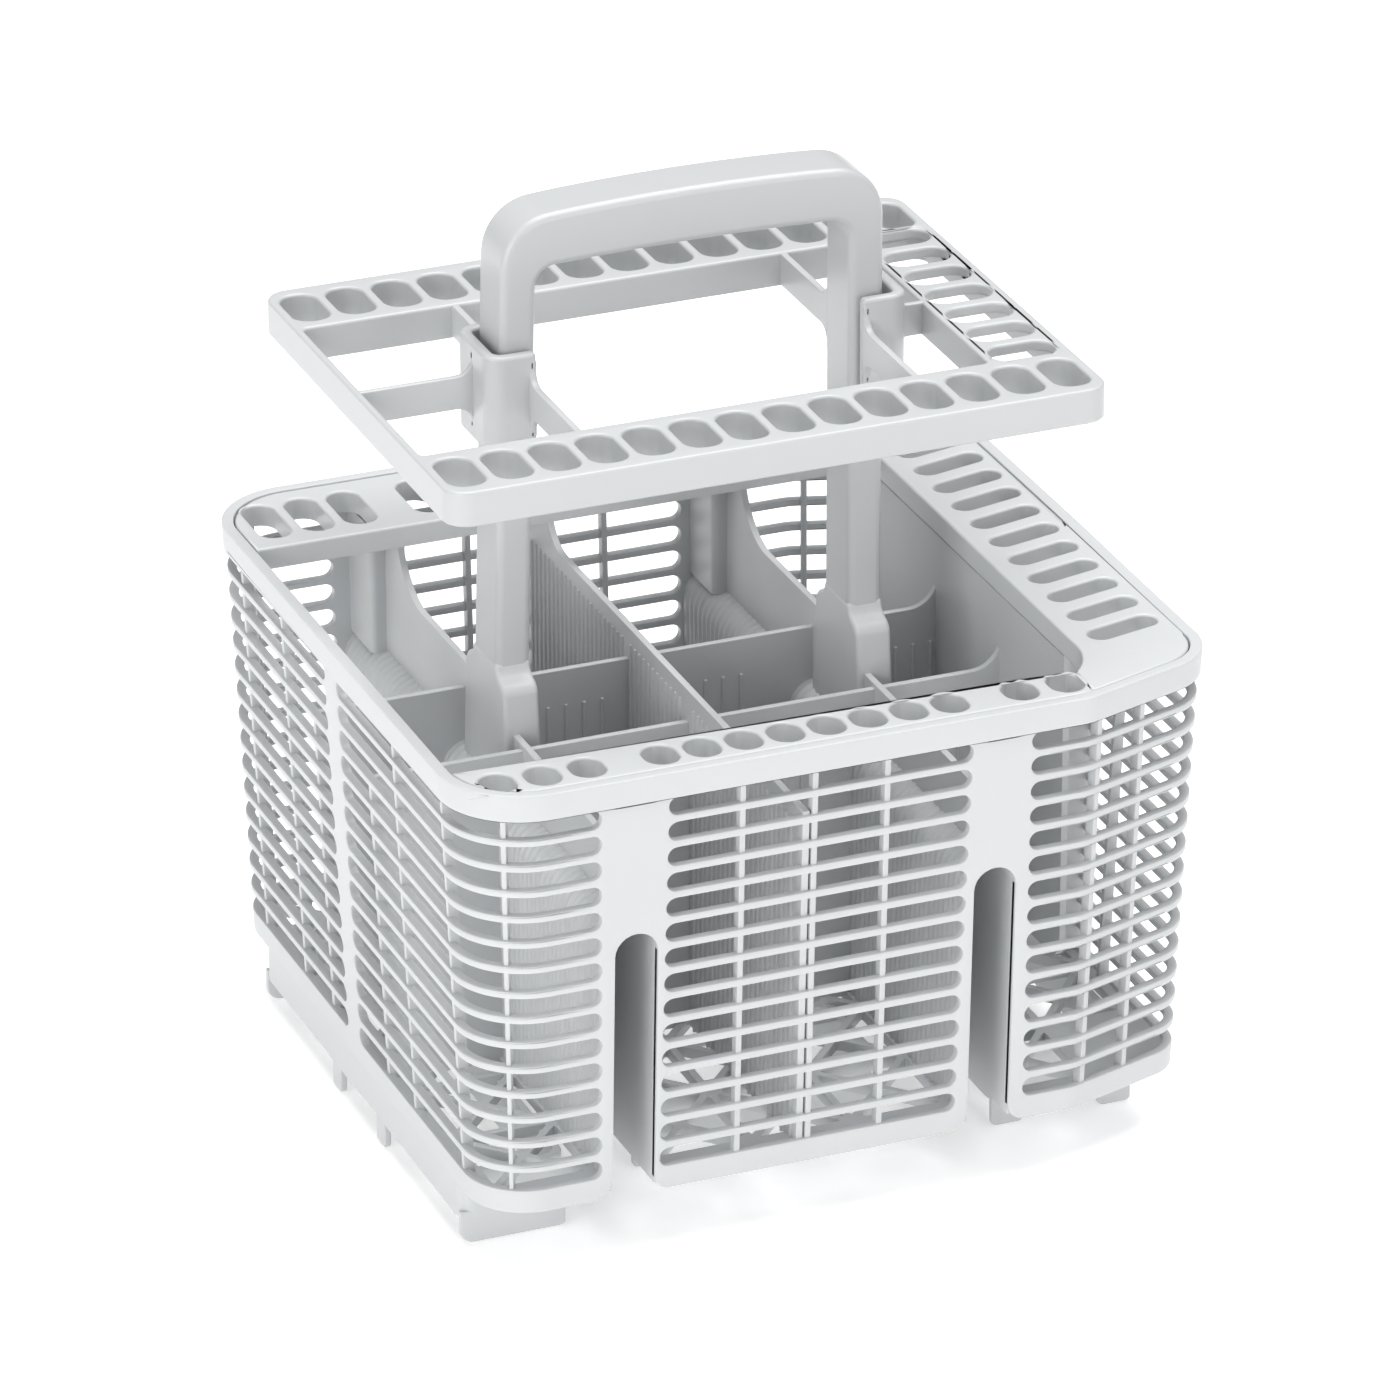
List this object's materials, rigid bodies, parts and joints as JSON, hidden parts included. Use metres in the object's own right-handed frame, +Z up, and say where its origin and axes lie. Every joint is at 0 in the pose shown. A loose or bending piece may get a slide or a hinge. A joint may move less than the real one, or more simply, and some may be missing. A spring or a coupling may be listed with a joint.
{
  "type": "dishwasher cutlery basket",
  "caption": "Slotted plastic dishwasher cutlery basket with slotted rim combs, rack tunnels, a carrying handle and an upper cutlery grid on the handle's legs.",
  "frame": {"origin": "under the middle of the rim, on the plane of the feet", "axes": "+Z up, +Y to the back, +X to the right, where the long chamfered corners are"},
  "size_m": [0.1946, 0.1876, 0.24],
  "materials": {
    "tub_plastic": "satin",
    "handle_plastic": "satin gloss",
    "grid_plastic": "satin gloss",
    "comb_plastic": "satin gloss"
  },
  "bodies": {
    "root": {"basket_body": "tub_plastic", "handle": "handle_plastic", "upper_grid": "grid_plastic", "front_comb": "comb_plastic", "back_comb": "comb_plastic", "fork_comb": "comb_plastic"}
  },
  "joints": []
}
